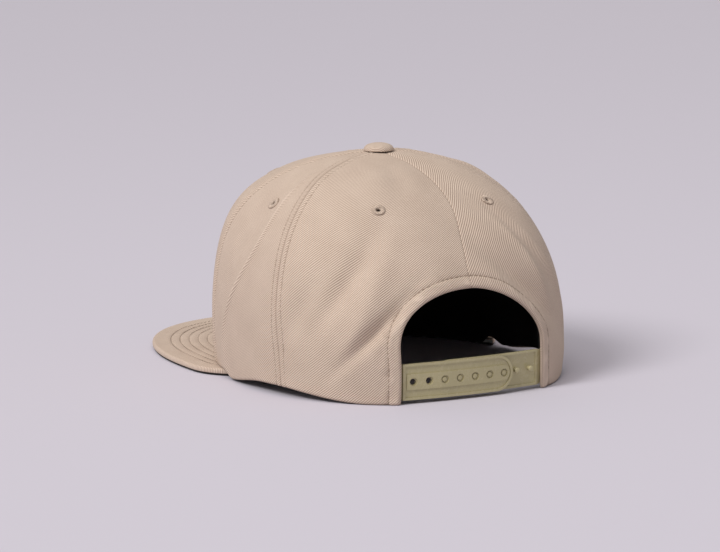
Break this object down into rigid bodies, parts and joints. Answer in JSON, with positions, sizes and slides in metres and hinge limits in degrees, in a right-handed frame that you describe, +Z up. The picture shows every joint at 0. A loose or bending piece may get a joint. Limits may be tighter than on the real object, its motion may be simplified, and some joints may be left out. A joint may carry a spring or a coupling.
{
  "type": "baseball cap",
  "caption": "Structured six-panel cap with a flat stitched visor, covered top button, embroidered eyelets, and an arched back opening closed by a two-part snap strap.",
  "frame": {"origin": "on the floor under the middle of the cap's bounding box", "axes": "-Y points to the visor's tip, +Y to the strap at the back, +X to the wearer's left, +Z up"},
  "size_m": [0.1868, 0.2696, 0.123],
  "materials": {
    "twill_cloth": "brushed wool-blend twill, matt, warm tan",
    "dark_cloth": "near-black lining, tape, buckram and sweatband cloth",
    "thread": "tan embroidery thread, slightly glossy",
    "strap_plastic": "moulded olive-khaki polyethylene, satin",
    "board_plastic": "plain visor board",
    "button_steel": "pressed steel"
  },
  "bodies": {
    "cap": {"front_panel_left": "twill_cloth", "front_panel_right": "twill_cloth", "side_panel_left": "twill_cloth", "side_panel_right": "twill_cloth", "back_panel_left": "twill_cloth", "back_panel_right": "twill_cloth", "front_buckram_left": "dark_cloth", "front_buckram_right": "dark_cloth", "seam_tape_front": "dark_cloth", "seam_tape_front_left": "dark_cloth", "seam_tape_front_right": "dark_cloth", "seam_tape_rear_left": "dark_cloth", "seam_tape_rear_right": "dark_cloth", "seam_tape_back": "dark_cloth", "arch_facing_tape": "twill_cloth", "sweatband": "dark_cloth", "eyelet_front_left": "thread", "eyelet_front_right": "thread", "eyelet_side_left": "thread", "eyelet_side_right": "thread", "eyelet_back_left": "thread", "eyelet_back_right": "thread", "top_button_cover": "twill_cloth", "top_button_shell": "button_steel", "top_button_rivet": "button_steel", "top_button_washer": "button_steel", "visor_top_cover": "twill_cloth", "visor_board": "board_plastic", "visor_under_cover": "dark_cloth", "snap_strap_outer_tab": "strap_plastic", "snap_strap_inner_tab": "strap_plastic"},
    "outer_strap": {"snap_strap_outer": "strap_plastic"},
    "inner_strap": {"snap_strap_inner": "strap_plastic"}
  },
  "joints": [
    {"name": "outer_strap_hinge", "type": "hinge", "parent": "cap", "child": "outer_strap", "pos_m": [0.0412, 0.12892, 0.0114], "axis": [0, -0.0373, -0.9993], "range_deg": [0, 85], "stiffness_Nm_per_rad": 0.002},
    {"name": "inner_strap_hinge", "type": "hinge", "parent": "cap", "child": "inner_strap", "pos_m": [-0.0412, 0.12884, 0.0114], "axis": [0, -0.0373, -0.9993], "range_deg": [0, 75], "stiffness_Nm_per_rad": 0.002}
  ]
}
